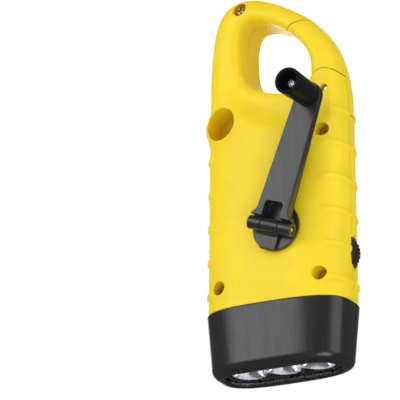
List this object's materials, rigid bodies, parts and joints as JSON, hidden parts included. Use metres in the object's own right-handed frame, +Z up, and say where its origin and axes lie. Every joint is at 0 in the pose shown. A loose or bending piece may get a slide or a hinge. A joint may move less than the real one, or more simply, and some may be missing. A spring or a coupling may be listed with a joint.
{
  "type": "hand crank flashlight",
  "caption": "Upright solar flashlight with a black head, a yellow body that narrows into a spring-gated carrying loop, and a folding crank on its back.",
  "frame": {"origin": "centre of the bounding box's bottom face, in the plane of the head's rim", "axes": "+Z up along the body from the head to the loop, -Y out of the solar panel, +Y out of the crank's side, +X towards the side of the knob well"},
  "size_m": [0.0544, 0.0516, 0.135],
  "materials": {
    "body_yellow": "moulded plastic, satin to glossy",
    "head_plastic": "moulded plastic, matt",
    "bezel_plastic": "moulded plastic, matt",
    "switch_plastic": "moulded plastic, matt",
    "switch_body_plastic": "moulded plastic, matt",
    "gearbox_plastic": "moulded plastic, matt",
    "crank_grey": "moulded plastic, satin",
    "knob_black": "moulded plastic, glossy",
    "gear_nylon": "moulded nylon",
    "steel": "plated steel",
    "steel_case": "plated steel",
    "brass_screw": "yellow passivated",
    "copper": "enamelled copper wire",
    "board_green": "solder mask",
    "battery_sleeve": "printed sleeve without text",
    "solar_cell_brown": "amorphous silicon cell",
    "window_clear": "clear plastic",
    "lens_clear": "clear plastic",
    "led_clear": "clear epoxy",
    "reflector_chrome": "metallised plastic"
  },
  "bodies": {
    "body": {"front_shell": "body_yellow", "rear_shell": "body_yellow", "head_bezel": "head_plastic", "lens": "lens_clear", "reflector": "reflector_chrome", "led_1": "led_clear", "led_2": "led_clear", "led_3": "led_clear", "led_board": "board_green", "main_board": "board_green", "battery": "battery_sleeve", "solar_bezel": "bezel_plastic", "solar_cell": "solar_cell_brown", "solar_window": "window_clear", "gear_plate": "gearbox_plastic", "gear_axle_1": "steel", "gear_axle_2": "steel", "plate_screw_1": "steel", "plate_screw_2": "steel", "plate_screw_3": "steel", "generator_case": "steel_case", "generator_coil": "copper", "switch_body": "switch_body_plastic", "gate_pin": "steel", "gate_spring": "steel", "shell_screw_loop": "brass_screw", "shell_screw_shoulder": "brass_screw", "shell_screw_lower_left": "brass_screw", "shell_screw_lower_right": "brass_screw"},
    "crank": {"crank_hub": "crank_grey", "crank_gear": "gear_nylon", "crank_gear_screw": "steel"},
    "arm": {"crank_arm": "crank_grey", "hinge_pin": "steel", "knob_screw": "steel"},
    "knob": {"crank_knob": "knob_black"},
    "switch": {"switch_wheel": "switch_plastic"},
    "gate": {"gate": "body_yellow"},
    "gear_1": {"compound_gear_1": "gear_nylon"},
    "gear_2": {"compound_gear_2": "gear_nylon"},
    "rotor": {"generator_rotor": "steel"}
  },
  "joints": [
    {"name": "crank_spin", "type": "hinge", "parent": "body", "child": "crank", "pos_m": [-0.0043, -0.0109, 0.04795], "axis": [0, 1, 0], "continuous": true},
    {"name": "crank_fold", "type": "hinge", "parent": "crank", "child": "arm", "pos_m": [-0.00407, 0.0068, 0.04729], "axis": [-0.9455, 0, -0.3256], "range_deg": [0, 155]},
    {"name": "knob_spin", "type": "hinge", "parent": "arm", "child": "knob", "pos_m": [-0.01917, 0.0098, 0.09114], "axis": [0, 1, 0], "continuous": true},
    {"name": "switch_turn", "type": "hinge", "parent": "body", "child": "switch", "pos_m": [-0.02, -0.0109, 0.0406], "axis": [0, 1, 0], "range_deg": [0, 60]},
    {"name": "gate_swing", "type": "hinge", "parent": "body", "child": "gate", "pos_m": [-0.0196, -0.0109, 0.09729], "axis": [0, 1, 0], "range_deg": [0, 30], "stiffness_Nm_per_rad": 0.02, "springref_deg": -28.65},
    {"name": "gear_1_spin", "type": "hinge", "parent": "body", "child": "gear_1", "pos_m": [-0.00013, -0.0109, 0.0635], "axis": [0, 1, 0], "continuous": true},
    {"name": "gear_2_spin", "type": "hinge", "parent": "body", "child": "gear_2", "pos_m": [0.00977, -0.0109, 0.0536], "axis": [0, 1, 0], "continuous": true},
    {"name": "rotor_spin", "type": "hinge", "parent": "body", "child": "rotor", "pos_m": [-0.00096, -0.0109, 0.0446], "axis": [0, 1, 0], "continuous": true}
  ],
  "couplings": [
    {"joint": "gear_1_spin", "follows": "crank_spin", "ratio": -3.6},
    {"joint": "gear_2_spin", "follows": "crank_spin", "ratio": 10.8},
    {"joint": "rotor_spin", "follows": "crank_spin", "ratio": -32.4}
  ]
}
